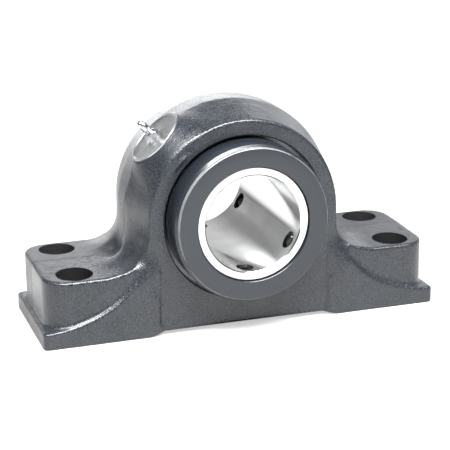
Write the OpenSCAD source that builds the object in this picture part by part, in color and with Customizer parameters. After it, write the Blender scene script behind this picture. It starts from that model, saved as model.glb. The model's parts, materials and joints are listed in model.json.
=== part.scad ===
/* [Base] */
// Height of the bore's centre above the base
centre_h = 101.6; // [101:0.1:112]
// Length of the base
base_len = 370; // [360:1:400]
// Width of the base across the feet
base_w = 120.6; // [120:0.1:128]
// Height of the low plate at the ends of the feet
plate_h = 15.3; // [12:0.1:18]
// Height of the bolting pads
pad_h = 60.7; // [56:0.1:64]
// How far the pads stand back from the ends of the plate
pad_step = 4.7; // [3:0.1:8]
// How far the pads stand back from the front of the foot
pad_ledge = 3.8; // [2:0.1:6]
// Plan radius of the pads' outer corners
pad_round = 22; // [14:1:26]
// Plan radius of the plate's outer corners
plate_round = 4; // [2:0.5:8]
// Depth of the relief under the middle of the base
relief_h = 3.2; // [2:0.1:5]

/* [Base bolts] */
// Distance between the bolts along the base
bolt_x = 301.6; // [296:0.1:306]
// Distance between the bolts across the base
bolt_y = 71.4; // [68:0.1:76]
// Diameter of the bolt holes
bolt_d = 32.8; // [24:0.1:34]

/* [Arch] */
// Radius of the crown band round the bore
crown_r = 98.4; // [96:0.1:102]
// Width of the crown band
crown_w = 23.6; // [16:0.1:30]
// Outer radius of the flat front face
face_r = 87.7; // [84:0.1:90]
// Width of the housing through the bore
face_w = 114.8; // [112:0.1:116]
// Radius of the hollow corner between pad and arch
neck_r = 28; // [20:1:32]
// Radius of the housing bore
seat_r = 73.8; // [73.4:0.1:75]

/* [Inner ring] */
// Shaft diameter
shaft_d = 87.3125; // [84:0.1:89]
// Length of the inner ring
ring_len = 161; // [160:0.1:164]
// Outer diameter of the ring's ends
ring_end_d = 101.6; // [100:0.1:103]
// Outer radius of the seal lands
land_r = 52.8; // [52.2:0.1:53.4]
// Outer radius of the rib between the raceways
rib_r = 57.6; // [57:0.1:58.5]

/* [Rollers] */
// Rollers in each row
roller_n = 18; // [14:18]
// Mean roller diameter
roller_d = 14.8; // [14.2:0.1:15.2]
// Roller length
roller_len = 20; // [18:0.5:20.5]
// Radius of the row's pitch circle
pitch_r = 60; // [59.6:0.1:60.4]
// Distance from the middle plane to a row's centre
row_y = 17; // [16.5:0.1:18]
// Slope of the roller axes
slope = 12; // [11:0.5:13]
// Running clearance round a roller
run_gap = 0.15; // [0.12:0.01:0.2]

/* [Collars] */
// Outer diameter of a collar
collar_d = 141.4; // [139:0.1:143]
// Width of a collar
collar_w = 33.3; // [30:0.1:34]
// How much smaller the collar's nose is in radius
nose_drop = 2.4; // [1:0.1:3]
// Length of the cone between the collar's side and its nose
nose_cone = 9; // [3:0.5:12]
// How far a collar stands out past the ring's end
collar_proud = 2.8; // [1:0.1:4]
// Diameter of the set screws
screw_d = 15.7; // [14:0.1:16]
// Angle of the first set screw round the bore
screw_angle = -31; // [-60:1:0]
// Angle between the two screws of a collar
screw_apart = 64; // [50:1:90]

/* [Label and grease fitting] */
// Angle of the grease fitting round the bore
label_angle = 135; // [120:1:145]
// Distance of the fitting in front of the middle plane
label_y = 17; // [14:0.5:19]
// Radius of the label plate
label_r = 27; // [24:0.5:28]
// How far the label's seat lies below the crown band
boss_drop = 1; // [0.5:0.1:1.4]
// Height of the fitting above the label plate
fitting_h = 20.5; // [18:0.5:24]

/* [Hidden] */
$fn = 96;
roller_ids = [for (i = [1:roller_n]) i];

// halves of the driving sizes
base_x = base_len / 2;
base_y = base_w / 2;
face_y = face_w / 2;
crown_y = crown_w / 2;
pad_x = base_x - pad_step;
pad_y = base_y - pad_ledge;
bore_r = shaft_d / 2;
ring_y = ring_len / 2;
ring_r = ring_end_d / 2;
collar_r = collar_d / 2;

// plan slope of the shoulders between crown band and front face
shoulder_a = atan((crown_r - face_r) / (face_y - crown_y));

// how far the feet reach into the arch, and the step between the web and their proud fronts
inner_x = 60;
ramp_x0 = 75.5;
ramp_x1 = 82;
relief_x0 = 76;
relief_x1 = 88;
foot_top_z = 57;
foot_fade_z = 80;

// how far the hollow corner sinks into pad and arch, and how its three lengths lap, in degrees
neck_sink = 6;
neck_lap = 1;

// roller row: all the cones of a row meet at its apex
apex_l = pitch_r / sin(slope);
apex_y = row_y + pitch_r / tan(slope);
taper = atan(roller_d / 2 / apex_l);
half_l = roller_len / 2;
roller_chamfer = 0.8;
cage_t = 2;
pocket_gap = 0.4;
cage_y0 = 3.8;
cage_y1 = 30.5;

// insert stations, as distances from the middle plane
spacer_y = 5;
cup_y = 31;
snap_t = 3;
snap_depth = 2.6;
snap_in = 70.2;
snap_split = 10;
snap_lug_r = 4;
snap_eye_r = 1.6;
snap_lug_a = 8;
seal_gap = 0.6;
seal_w = 6;
seal_y0 = cup_y + snap_t + seal_gap;
seal_y1 = seal_y0 + seal_w;
seal_wall = 2;
lip_gap = 0.15;
lip_root_r = 61;
collar_y1 = ring_y + collar_proud;
collar_y0 = collar_y1 - collar_w;
shoulder_y = collar_y0 - 0.3;
screw_y = (collar_y0 + collar_y1) / 2;
screw_gap = 0.08;
screw_tip = bore_r + 8.8;
screw_top = collar_r - nose_drop + 0.6;

// the collar's short nose, and the relief round the ring's end
nose_w = 4;
nose_r = collar_r - nose_drop;
relief_r = ring_r + 0.9;
relief_w = 6.5;

// the label boss reaches out to boss_r, stands out by boss_rim past the plate, and spreads by
// boss_draft per mm of depth
boss_r = crown_r - boss_drop;
boss_draft = 0.9;
boss_rim = 0.8;

// grease way
groove_y0 = -20.5;
groove_y1 = 3;
groove_r = seat_r + 1.6;
feed_r = 3;
stem_r = 5.1;
stem_l = 13;
plate_t = 0.8;
rim_t = 1.7;
rim_w = 1.3;
hex_r = 6.4;
hex_h = 6;
neck_stem_r = 3.1;
head_r = 4.1;
channel_r = 1.7;
mouth_r = 1.1;
ball_r = 1.45;
ball_depth = 2.15;
spring_turns = 6;
spring_wire = 0.22;
spring_l = 7;
spring_room = 9.6;

// A roller's radius at distance d from its middle, towards the small end
function roller_rad(d) = (apex_l - d) * tan(taper);

// Point [radius, y] at distance d along a roller's axis and t out from it
function row_pt(d, t) = [
    pitch_r - d * sin(slope) + t * cos(slope),
    row_y + d * cos(slope) + t * sin(slope)];

// Y where the plane of a roller end at distance d crosses radius r
function end_plane_y(d, r) =
    let (t = (r - pitch_r + d * sin(slope)) / cos(slope)) row_pt(d, t)[1];

// Raceway radius in a cup at distance y from the middle plane
function cup_r(y) = (apex_y - y) * tan(slope + taper);

// Radius of the cage's middle line
function pitch_line(y) = (apex_y - y) * tan(slope);

function flip(pts) = [for (i = [len(pts) - 1 : -1 : 0]) [pts[i][0], -pts[i][1]]];

// Turns an outline of [radius, y] points round the bore
module revolve(pts) {
    translate([0, 0, centre_h]) rotate([-90, 0, 0]) rotate_extrude() polygon(pts);
}

// Puts a child's +X along the radius at angle a, at distance y along the bore
module at_angle(a, y = 0) {
    translate([0, y, centre_h]) rotate([0, -a, 0]) children();
}

// A round bar along +X from x0 to x1
module bar_x(r, x0, x1) {
    translate([x0, 0, 0]) rotate([0, 90, 0]) cylinder(h = x1 - x0, r = r);
}

// Front pieces are the rear ones seen in the middle plane
module side(s) {
    if (s < 0) mirror([0, 1, 0]) children();
    else children();
}

// The left end is the right one seen in the middle plane
module end(s) {
    if (s < 0) mirror([1, 0, 0]) children();
    else children();
}

// An outline in the X-Z plane drawn through from -y to y
module through(y) {
    rotate([90, 0, 0]) linear_extrude(2 * y, center = true) children();
}

// Block from x0 to x1 with its two far corners rounded, seen from above
module far_rounded(x0, x1, y, r) {
    translate([x0, -y]) square([x1 - r - x0, 2 * y]);
    translate([x0, r - y]) square([x1 - x0, 2 * (y - r)]);
    for (s = [-1, 1]) translate([x1 - r, s * (y - r)]) circle(r);
}

// Outline of a foot's front: a quarter ellipse sweeps up from the low end into the arch
module foot_front() {
    top = foot_fade_z + 8;
    run = base_x - face_r - 1;
    rise = top - plate_h;
    sweep = [for (k = [0:16]) [base_x - run * sin(k * 90 / 16), top - rise * cos(k * 90 / 16)]];
    polygon(concat([[base_x, 0]], sweep, [[inner_x, top], [inner_x, 0]]));
}

// What the foot's front may fill: stepped back to the web in the middle
module foot_plan() {
    polygon([[inner_x, -face_y], [ramp_x0, -face_y], [ramp_x1, -base_y], [base_x + 1, -base_y],
             [base_x + 1, base_y], [ramp_x1, base_y], [ramp_x0, face_y], [inner_x, face_y]]);
}

// The proud part of a foot's front fades out above foot_top_z
module foot_fade() {
    tilt = atan((base_y - face_y) / (foot_fade_z - foot_top_z));
    for (s = [-1, 1]) side(s)
        translate([0, base_y, foot_top_z]) rotate([tilt, 0, 0]) translate([inner_x, 0, 0])
            cube([base_x - inner_x, base_y - face_y + 10, centre_h]);
}

module foot() {
    linear_extrude(pad_h) far_rounded(inner_x, pad_x, pad_y, pad_round);
    difference() {
        intersection() {
            union() {
                linear_extrude(plate_h) far_rounded(inner_x, base_x, base_y, plate_round);
                through(base_y) foot_front();
            }
            linear_extrude(centre_h) foot_plan();
            linear_extrude(centre_h) far_rounded(inner_x, base_x, base_y, plate_round);
        }
        foot_fade();
    }
}

// Hollow corner that leads from the pad's top up the side of the arch
module neck_profile(depth) {
    difference() {
        translate([-depth, -neck_sink]) square([neck_r + depth, neck_r + neck_sink]);
        translate([neck_r, neck_r]) circle(neck_r);
    }
}

module neck() {
    run = (face_y - crown_y) / cos(shoulder_a);
    intersection() {
        union() {
            translate([crown_r, 0, pad_h]) through(crown_y) neck_profile(neck_sink);
            for (s = [-1, 1]) side(s)
                translate([crown_r, crown_y, pad_h]) rotate([0, 0, shoulder_a])
                    translate([0, run, 0]) rotate([90, 0, 0]) linear_extrude(run) neck_profile(neck_sink);
            for (s = [-1, 1]) side(s)
                translate([crown_r, crown_y, pad_h]) rotate([0, 0, -neck_lap])
                    rotate_extrude(angle = shoulder_a + 2 * neck_lap) neck_profile(0);
        }
        translate([inner_x, -pad_y, 0]) cube([base_x, 2 * pad_y, 2 * centre_h]);
    }
}

module arch() {
    half = [[crown_r, crown_y], [face_r, face_y]];
    revolve(concat([[0, -face_y], [face_r, -face_y], [crown_r, -crown_y]], half, [[0, face_y]]));
    linear_extrude(centre_h) polygon([
        [-face_r, -face_y], [face_r, -face_y], [crown_r, -crown_y], [crown_r, crown_y],
        [face_r, face_y], [-face_r, face_y], [-crown_r, crown_y], [-crown_r, -crown_y]]);
}

// Drafted boss that carries the label plate
module boss() {
    drop = boss_r - seat_r - 6;
    top = label_r + boss_rim;
    at_angle(label_angle, -label_y) translate([boss_r - drop, 0, 0])
        rotate([0, 90, 0]) cylinder(h = drop, r1 = top + drop * boss_draft, r2 = top);
}

// Relieved bottom between the feet, with a slanted step at each foot
module base_relief() {
    through(base_y + 10) polygon([
        [-relief_x1, -crown_r], [-relief_x1, 0], [-relief_x0, relief_h],
        [relief_x0, relief_h], [relief_x1, 0], [relief_x1, -crown_r]]);
}

module housing() color("#4b5057") difference() {
    union() {
        arch();
        for (s = [-1, 1]) end(s) {
            foot();
            neck();
        }
        boss();
    }
    revolve([[0, -face_y - 1], [seat_r + 1, -face_y - 1], [seat_r + 1, -face_y], [seat_r, -face_y + 1],
             [seat_r, face_y - 1], [seat_r + 1, face_y], [seat_r + 1, face_y + 1], [0, face_y + 1]]);
    for (s = [-1, 1]) side(s)
        revolve([[0, cup_y], [seat_r + snap_depth, cup_y],
                 [seat_r + snap_depth, cup_y + snap_t + 0.1], [0, cup_y + snap_t + 0.1]]);
    revolve([[0, groove_y0], [groove_r, groove_y0], [groove_r, groove_y1], [0, groove_y1]]);
    at_angle(label_angle, -label_y) {
        bar_x(label_r + boss_rim + 0.6, boss_r, boss_r + 12);
        bar_x(stem_r, boss_r - stem_l - 1, boss_r + 1);
        bar_x(feed_r, seat_r - 5, boss_r);
    }
    for (sx = [-1, 1], sy = [-1, 1])
        translate([sx * bolt_x / 2, sy * bolt_y / 2, -1]) cylinder(h = centre_h, d = bolt_d);
    base_relief();
}

// Piece turned about the fitting's axis, from [radius, height above the boss] points
module fitting_turned(pts) {
    at_angle(label_angle, -label_y) translate([boss_r, 0, 0]) rotate([0, 90, 0]) rotate_extrude() polygon(pts);
}

module label_plate() color("#d9dadb") fitting_turned([
    [stem_r + 0.2, 0], [label_r, 0], [label_r, rim_t - 0.3], [label_r - 0.3, rim_t], [label_r - rim_w, rim_t],
    [label_r - rim_w - 0.6, plate_t], [stem_r + 0.2, plate_t]]);

module grease_fitting() color("#c9ccd0") {
    tip = plate_t + fitting_h;
    difference() {
        union() {
            fitting_turned([[0, -stem_l], [stem_r - 0.6, -stem_l], [stem_r, -stem_l + 1], [stem_r, plate_t],
                [hex_r - 1, plate_t], [hex_r - 1, plate_t + hex_h + 0.6], [neck_stem_r, plate_t + hex_h + 1.6],
                [neck_stem_r, plate_t + hex_h + 3], [head_r, plate_t + hex_h + 5], [head_r, tip - 4.2],
                [head_r - 1.1, tip - 1.2], [mouth_r + 1, tip], [0, tip]]);
            at_angle(label_angle, -label_y) translate([boss_r + plate_t, 0, 0])
                rotate([0, 90, 0]) cylinder(h = hex_h, r = hex_r, $fn = 6);
        }
        fitting_turned([[0, -stem_l - 1], [mouth_r, -stem_l - 1], [mouth_r, tip - ball_depth - spring_room],
            [channel_r, tip - ball_depth - spring_room], [channel_r, tip - ball_depth + 0.6],
            [mouth_r, tip - 0.6], [mouth_r, tip + 1], [0, tip + 1]]);
    }
}

module check_ball() color("#8d9095")
    at_angle(label_angle, -label_y)
        translate([boss_r + plate_t + fitting_h - ball_depth, 0, 0]) sphere(ball_r);

// Coil spring under the ball: a helix swept with a six-sided wire
module check_spring() color("#a9acb0") {
    steps = spring_turns * 14;
    coil_r = channel_r - spring_wire - 0.1;
    ring = [for (k = [0:5]) [cos(60 * k) * spring_wire, sin(60 * k) * spring_wire]];
    pts = [for (i = [0:steps], p = ring)
        let (a = 360 * spring_turns * i / steps)
        [(coil_r + p[0]) * cos(a), (coil_r + p[0]) * sin(a), spring_l * i / steps + p[1]]];
    walls = [for (i = [0:steps - 1], k = [0:5])
        [i * 6 + k, i * 6 + (k + 1) % 6, (i + 1) * 6 + (k + 1) % 6, (i + 1) * 6 + k]];
    caps = [[5, 4, 3, 2, 1, 0], [for (k = [0:5]) steps * 6 + k]];
    start = boss_r + plate_t + fitting_h - ball_depth - spring_room + spring_wire + 0.02;
    at_angle(label_angle, -label_y) translate([start, 0, 0]) rotate([0, 90, 0])
        polyhedron(points = pts, faces = concat(walls, caps));
}

module cup(s) color("#8f959c") side(s)
    revolve([[cup_r(spacer_y), spacer_y], [seat_r - 0.8, spacer_y], [seat_r, spacer_y + 0.8],
             [seat_r, cup_y - 0.8], [seat_r - 0.8, cup_y], [cup_r(cup_y), cup_y]]);

module cup_spacer() color("#7d8288") {
    inner = cup_r(spacer_y) - 1;
    difference() {
        revolve([[inner, -spacer_y], [seat_r, -spacer_y], [seat_r, spacer_y], [inner, spacer_y]]);
        for (k = [0:5]) at_angle(label_angle + 60 * k) bar_x(feed_r, inner - 5, seat_r + 5);
    }
}

module snap_ring(s) color("#6f7479") side(s) difference() {
    union() {
        revolve([[snap_in, cup_y], [seat_r + snap_depth - 0.2, cup_y],
                 [seat_r + snap_depth - 0.2, cup_y + snap_t], [snap_in, cup_y + snap_t]]);
        for (a = [90 - snap_lug_a, 90 + snap_lug_a]) at_angle(a, cup_y) translate([snap_in - 1, 0, 0])
            rotate([-90, 0, 0]) cylinder(h = snap_t, r = snap_lug_r);
    }
    at_angle(90, cup_y - 1) translate([snap_in - 2 * snap_lug_r, 0, -snap_split / 2])
        cube([2 * snap_split, snap_t + 2, snap_split]);
    for (a = [90 - snap_lug_a, 90 + snap_lug_a]) at_angle(a, cup_y - 1) translate([snap_in - 1.4, 0, 0])
        rotate([-90, 0, 0]) cylinder(h = snap_t + 2, r = snap_eye_r);
}

// Pressed steel case: a rim against the bore and a web towards the ring
module seal_case(s) color("#9aa0a6") side(s)
    revolve([[seat_r - seal_wall, seal_y0], [seat_r, seal_y0], [seat_r, seal_y1], [lip_root_r, seal_y1],
             [lip_root_r, seal_y1 - seal_wall], [seat_r - seal_wall, seal_y1 - seal_wall]]);

// Rubber lip on the case's inner edge, with two ribs over the land
module seal_lip(s) color("#1c1c1c") side(s)
    revolve([[lip_root_r, seal_y1], [land_r + 1.4, seal_y1], [land_r + lip_gap, seal_y1 - 0.8],
             [land_r + lip_gap, seal_y1 - 1.6], [land_r + 1.6, seal_y1 - 2.4], [land_r + lip_gap, seal_y0 + 1],
             [land_r + lip_gap, seal_y0 + 0.4], [land_r + 2.6, seal_y0], [lip_root_r, seal_y1 - seal_wall]]);

function ring_half() =
    let (big = -half_l - run_gap, small = half_l + run_gap, c = 1)
    [[rib_r, 0],
     [rib_r, end_plane_y(big, rib_r)],
     row_pt(big, -roller_rad(big)),
     row_pt(small, -roller_rad(small)),
     [land_r, end_plane_y(small, land_r)],
     [land_r, shoulder_y],
     [ring_r, shoulder_y],
     [ring_r, ring_y - c],
     [ring_r - c, ring_y],
     [bore_r + c, ring_y],
     [bore_r, ring_y - c]];

module inner_ring() color("#d4d6d8") difference() {
    revolve(concat(flip(ring_half()), ring_half()));
    for (s = [-1, 1], k = [0, 1])
        at_angle(screw_angle - screw_apart * k, s * screw_y) bar_x(screw_d / 2 + 0.3, bore_r - 8, ring_r + 8);
}

// A tapered roller, grown by gap, with its middle at the pitch radius
module roller_shape(gap, ch) {
    big = roller_rad(-half_l) + gap;
    small = roller_rad(half_l) + gap;
    l = half_l + max(gap, 0);
    translate([pitch_r, row_y, 0]) rotate([0, 0, slope]) rotate([-90, 0, 0]) rotate_extrude()
        polygon([[0, -l], [big - ch, -l], [big, -l + ch], [small, l - ch], [small - ch, l], [0, l]]);
}

module roller(s, i) color("#b8bcc0")
    side(s) at_angle(360 * (i - 1) / roller_n) roller_shape(-run_gap, roller_chamfer);

// Slotted conical cage that rides between the rollers on their pitch line
module cage(s) color("#85888c") side(s) difference() {
    t = cage_t / 2 / cos(slope);
    revolve([[pitch_line(cage_y0) - t, cage_y0], [pitch_line(cage_y0) + t, cage_y0],
             [pitch_line(cage_y1) + t, cage_y1], [pitch_line(cage_y1) - t, cage_y1]]);
    for (i = roller_ids) at_angle(360 * (i - 1) / roller_n) roller_shape(pocket_gap, 0.3);
}

// Collar with a cone down to a short nose, and a relief between its outer end and the ring
module collar(s) color("#33363a") side(s) difference() {
    c = 1.2;
    r0 = ring_r + 0.04;
    relief_y = collar_y1 - relief_w;
    nose_y = collar_y1 - nose_w;
    revolve([[r0, collar_y0], [collar_r - c, collar_y0], [collar_r, collar_y0 + c],
             [collar_r, nose_y - nose_cone], [nose_r, nose_y], [nose_r, collar_y1 - 0.5],
             [nose_r - 0.5, collar_y1], [relief_r, collar_y1], [relief_r, relief_y], [r0, relief_y]]);
    for (k = [0, 1]) at_angle(screw_angle - screw_apart * k, screw_y)
        bar_x(screw_d / 2 + screw_gap, ring_r - 6, collar_r + 4);
}

// Socket set screw, backed off so that its cup point clears the shaft
module set_screw(s, k) color("#26282b") side(s)
    at_angle(screw_angle - screw_apart * (k - 1), screw_y) difference() {
        rotate([0, 90, 0]) rotate_extrude() polygon([
            [0, screw_tip + 1.2], [3.4, screw_tip], [4.4, screw_tip], [screw_d / 2, screw_tip + 2.6],
            [screw_d / 2, screw_top - 0.8], [screw_d / 2 - 0.8, screw_top], [0, screw_top]]);
        translate([screw_top - 6, 0, 0]) rotate([0, 90, 0]) cylinder(h = 7, r = 4.6, $fn = 6);
    }

housing();
label_plate();
grease_fitting();
check_ball();
check_spring();
cup_spacer();
inner_ring();
cup(-1);  // front_cup
cup(1);  // rear_cup
snap_ring(-1);  // front_snap_ring
snap_ring(1);  // rear_snap_ring
seal_case(-1);  // front_seal_case
seal_case(1);  // rear_seal_case
seal_lip(-1);  // front_seal_lip
seal_lip(1);  // rear_seal_lip
cage(-1);  // front_cage
cage(1);  // rear_cage
collar(-1);  // front_collar
collar(1);  // rear_collar
for (k = [1, 2]) {
    set_screw(-1, k);
    set_screw(1, k);
}
for (i = roller_ids) {
    roller(-1, i);
    roller(1, i);
}
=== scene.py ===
import json
import math

import bmesh
import bpy
import numpy as np
from mathutils import Matrix, Quaternion, Vector, noise


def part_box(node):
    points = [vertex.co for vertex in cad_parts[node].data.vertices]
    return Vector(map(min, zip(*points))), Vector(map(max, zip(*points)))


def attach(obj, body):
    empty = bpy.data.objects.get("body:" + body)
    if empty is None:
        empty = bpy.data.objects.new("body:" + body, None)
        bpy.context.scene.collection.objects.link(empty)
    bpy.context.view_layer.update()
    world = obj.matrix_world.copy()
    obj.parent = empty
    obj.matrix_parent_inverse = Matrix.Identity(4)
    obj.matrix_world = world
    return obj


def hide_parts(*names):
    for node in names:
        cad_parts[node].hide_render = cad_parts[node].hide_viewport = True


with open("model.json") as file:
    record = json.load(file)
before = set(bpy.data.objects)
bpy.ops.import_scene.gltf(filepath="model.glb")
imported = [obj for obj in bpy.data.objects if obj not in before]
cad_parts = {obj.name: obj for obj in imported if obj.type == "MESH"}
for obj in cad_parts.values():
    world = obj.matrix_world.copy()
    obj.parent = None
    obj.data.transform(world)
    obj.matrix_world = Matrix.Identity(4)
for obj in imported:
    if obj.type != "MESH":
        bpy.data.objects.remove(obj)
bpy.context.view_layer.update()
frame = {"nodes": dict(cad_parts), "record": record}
record = frame["record"]
nodes = frame["nodes"]
scene = bpy.context.scene
scene.view_settings.view_transform = "Standard"
mm = 0.001


def boxOf(node):
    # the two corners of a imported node's box, in mm
    return [[round(v / mm, 3) for v in corner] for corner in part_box(node)]


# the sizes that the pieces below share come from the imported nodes
ringLow, ringHigh = boxOf("inner_ring")
collarLow, collarHigh = boxOf("rear_collar")
cupLow, cupHigh = boxOf("front_cup")
plateLow, plateHigh = boxOf("label_plate")
boreHeight = (ringLow[2] + ringHigh[2]) / 2
alongBore = Matrix.Rotation(-math.pi / 2, 4, "X")    # lays Z along the bore
boreFrame = Matrix.Translation((0, 0, boreHeight * mm)) @ alongBore


# small helpers for meshes

mergeDistance = 1e-7
nearlyStraight = math.pi - 0.05


def linkObject(name, mesh):
    piece = bpy.data.objects.new(name, mesh)
    scene.collection.objects.link(piece)
    return piece


def finishedMesh(name, bm):
    mesh = bpy.data.meshes.new(name)
    bm.to_mesh(mesh)
    bm.free()
    return mesh


def applyModifiers(piece):
    depsgraph = bpy.context.evaluated_depsgraph_get()
    baked = bpy.data.meshes.new_from_object(piece.evaluated_get(depsgraph))
    old = piece.data
    piece.modifiers.clear()
    piece.data = baked
    bpy.data.meshes.remove(old)


def smoothShade(piece, sharpAngle):
    piece.data.shade_smooth()
    piece.data.set_sharp_from_angle(angle=math.radians(sharpAngle))


def setMaterial(piece, material):
    piece.data.materials.clear()
    piece.data.materials.append(material)


def cutWith(piece, cutters, solver="EXACT"):
    for cutter in cutters:
        cut = piece.modifiers.new("cut", "BOOLEAN")
        cut.operation = "DIFFERENCE"
        cut.solver = solver
        cut.object = cutter
    applyModifiers(piece)
    for cutter in cutters:
        bpy.data.objects.remove(cutter)


def roundedOutline(corners, steps):
    # closed outline from (radius, height, ease) corners in mm, each corner eased by its own third number
    outline = []
    for i, (x, y, ease) in enumerate(corners):
        here = Vector((x, y))
        before = Vector(corners[i - 1][:2]) - here
        after = Vector(corners[(i + 1) % len(corners)][:2]) - here
        if ease <= 0 or before.angle(after) > nearlyStraight:
            outline.append((x, y))
            continue
        back = min(ease / math.tan(before.angle(after) / 2), before.length * 0.48, after.length * 0.48)
        start = here + before.normalized() * back
        stop = here + after.normalized() * back
        for k in range(steps + 1):
            t = k / steps
            outline.append(tuple(start * (1 - t) ** 2 + here * 2 * t * (1 - t) + stop * t * t))
    return outline


def pointAround(radius, angle, height):
    return Vector((radius * math.cos(angle), radius * math.sin(angle), height)) * mm


def turnedPiece(name, outline, segments, place):
    # turns a closed outline of (radius, height) in mm about Z, and puts it at its place
    bm = bmesh.new()
    rings = []
    for k in range(segments):
        angle = 2 * math.pi * k / segments
        rings.append([bm.verts.new(place @ pointAround(r, angle, height)) for r, height in outline])
    for k, here in enumerate(rings):
        there = rings[(k + 1) % segments]
        for i in range(len(outline)):
            j = (i + 1) % len(outline)
            bm.faces.new((here[i], here[j], there[j], there[i]))
    bmesh.ops.remove_doubles(bm, verts=bm.verts, dist=mergeDistance)
    bmesh.ops.recalc_face_normals(bm, faces=bm.faces)
    return linkObject(name, finishedMesh(name, bm))


def addStack(bm, loops):
    # a closed solid through stacked loops of points, capped at both ends
    rows = [[bm.verts.new(point) for point in loop] for loop in loops]
    for low, high in zip(rows, rows[1:]):
        for k in range(len(low)):
            after = (k + 1) % len(low)
            bm.faces.new((low[k], low[after], high[after], high[k]))
    bm.faces.new(rows[0][::-1])
    bm.faces.new(rows[-1])
    bmesh.ops.recalc_face_normals(bm, faces=bm.faces)


def addBar(bm, radius, low, high, place, sides):
    # a cylinder about the place's Z axis, from low to high in mm
    middle = Matrix.Translation((0, 0, (low + high) / 2 * mm))
    bmesh.ops.create_cone(bm, cap_ends=True, segments=sides, radius1=radius * mm, radius2=radius * mm,
                          depth=(high - low) * mm, matrix=place @ middle)


def barCutter(name, radius, low, high, place, sides):
    bm = bmesh.new()
    addBar(bm, radius, low, high, place, sides)
    return linkObject(name, finishedMesh(name, bm))


def aroundBore(angle, y):
    # takes +Z to the bore's radius at this angle, at this distance along the bore
    turn = Matrix.Rotation(-math.radians(angle), 4, "Y") @ Matrix.Rotation(math.pi / 2, 4, "Y")
    return Matrix.Translation((0, y * mm, boreHeight * mm)) @ turn


# shader maths

class Sum:
    # a socket in an expression, where each operator adds its Math node
    def __init__(self, graph, socket):
        self.graph = graph
        self.socket = socket

    def join(self, operation, first, second):
        return self.graph.node("ShaderNodeMath", {"operation": operation}, [first, second])

    def __add__(self, other):
        return self.join("ADD", self, other)

    def __radd__(self, other):
        return self.join("ADD", other, self)

    def __sub__(self, other):
        return self.join("SUBTRACT", self, other)

    def __rsub__(self, other):
        return self.join("SUBTRACT", other, self)

    def __mul__(self, other):
        return self.join("MULTIPLY", self, other)

    def __rmul__(self, other):
        return self.join("MULTIPLY", other, self)

    def power(self, other):
        return self.join("POWER", self, other)

    def clamped(self):
        return self.graph.node("ShaderNodeClamp", {}, [self, 0.0, 1.0])

    def rises(self, low, high):
        # 0 below low and 1 above high, eased between
        return self.graph.node("ShaderNodeMapRange", {"interpolation_type": "SMOOTHSTEP"},
                               [self, low, high, 0.0, 1.0])


class Graph:
    # the node tree of a material or a world, emptied but for its output
    def __init__(self, owner, ending="ShaderNodeOutputMaterial"):
        owner.use_nodes = True
        self.owner = owner
        self.tree = owner.node_tree
        self.tree.nodes.clear()
        self.ending = self.tree.nodes.new(ending)

    def node(self, kind, settings, inputs, out=0):
        # settings are set before the sockets get their values or links
        made = self.tree.nodes.new(kind)
        for key, value in settings.items():
            setattr(made, key, value)
        pairs = inputs.items() if isinstance(inputs, dict) else enumerate(inputs)
        for key, value in pairs:
            if isinstance(value, Sum):
                self.tree.links.new(value.socket, made.inputs[key])
            else:
                made.inputs[key].default_value = value
        return Sum(self, made.outputs[out])

    def place(self, stretch=(1, 1, 1), centre=(0, 0, 0)):
        # Object coordinates from this centre, stretched along each axis
        coords = self.node("ShaderNodeTexCoord", {}, {}, "Object")
        shift = tuple(-c * s for c, s in zip(centre, stretch))
        return self.node("ShaderNodeMapping", {"vector_type": "POINT"},
                         {"Vector": coords, "Location": shift, "Scale": stretch})

    def axes(self, vector):
        split = self.node("ShaderNodeSeparateXYZ", {}, {"Vector": vector}).socket.node
        return [Sum(self, output) for output in split.outputs]

    def noise(self, vector, scale, detail, roughness):
        return self.node("ShaderNodeTexNoise", {"normalize": True},
                         {"Vector": vector, "Scale": scale, "Detail": detail, "Roughness": roughness})

    def mixColour(self, factor, first, second):
        return self.node("ShaderNodeMix", {"data_type": "RGBA"}, {0: factor, 6: first, 7: second}, 2)

    def bump(self, height, strength, distance):
        return self.node("ShaderNodeBump", {}, {"Height": height, "Strength": strength, "Distance": distance})

    def end(self, shader):
        self.tree.links.new(shader.socket, self.ending.inputs["Surface"])
        return self.owner

    def surface(self, sockets):
        return self.end(self.node("ShaderNodeBsdfPrincipled", {}, sockets, "BSDF"))


# finishes: each noise is given as scale, detail and roughness, each rise as its two levels

paintLook = {
    "dark": (0.008, 0.010, 0.013, 1), "light": (0.037, 0.043, 0.053, 1), "dust": (0.11, 0.12, 0.13, 1),
    # the pale grain colour below is a painted highlight for the arch's top
    "pit": (0.004, 0.005, 0.006, 1), "paintedGlint": (0.36, 0.37, 0.38, 1),
    "grain": (680.0, 3.0, 0.55), "grit": (1350.0, 2.0, 0.6), "lumps": (95.0, 3.0, 0.5),
    "drift": (22.0, 2.0, 0.5), "wrinkles": (1.0, 2.0, 0.5), "streaks": (150.0, 1500.0, 150.0),
    "archPart": -0.0118, "padPart": 0.006, "partHeight": (0.062, 0.090), "partWander": 0.008,
    "partEdge": (-0.001, 0.002), "crownHeight": (0.105, 0.165),
    "toneParts": (0.15, 0.15, 0.70), "toneRise": (0.30, 0.70),
    "dustRise": (0.58, 0.72), "dustShare": 0.6, "pitRise": (0.24, 0.40), "pitShare": 0.6,
    "glintRise": (0.36, 0.64), "glintGrain": 0.50, "glintShare": 0.24,
    "rough": 0.23, "roughSpread": 0.12, "sandyRough": 0.08, "crownRough": 0.12,
    "grainHeight": 0.95, "gritHeight": 0.15, "lumpHeight": 0.5, "wrinkleHeight": 0.2, "sandyHeight": 0.6,
    "bumpDepth": 0.0011, "bumpStrength": 0.75, "ior": 1.64, "coat": 0.22, "coatRough": 0.14,
}


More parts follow.
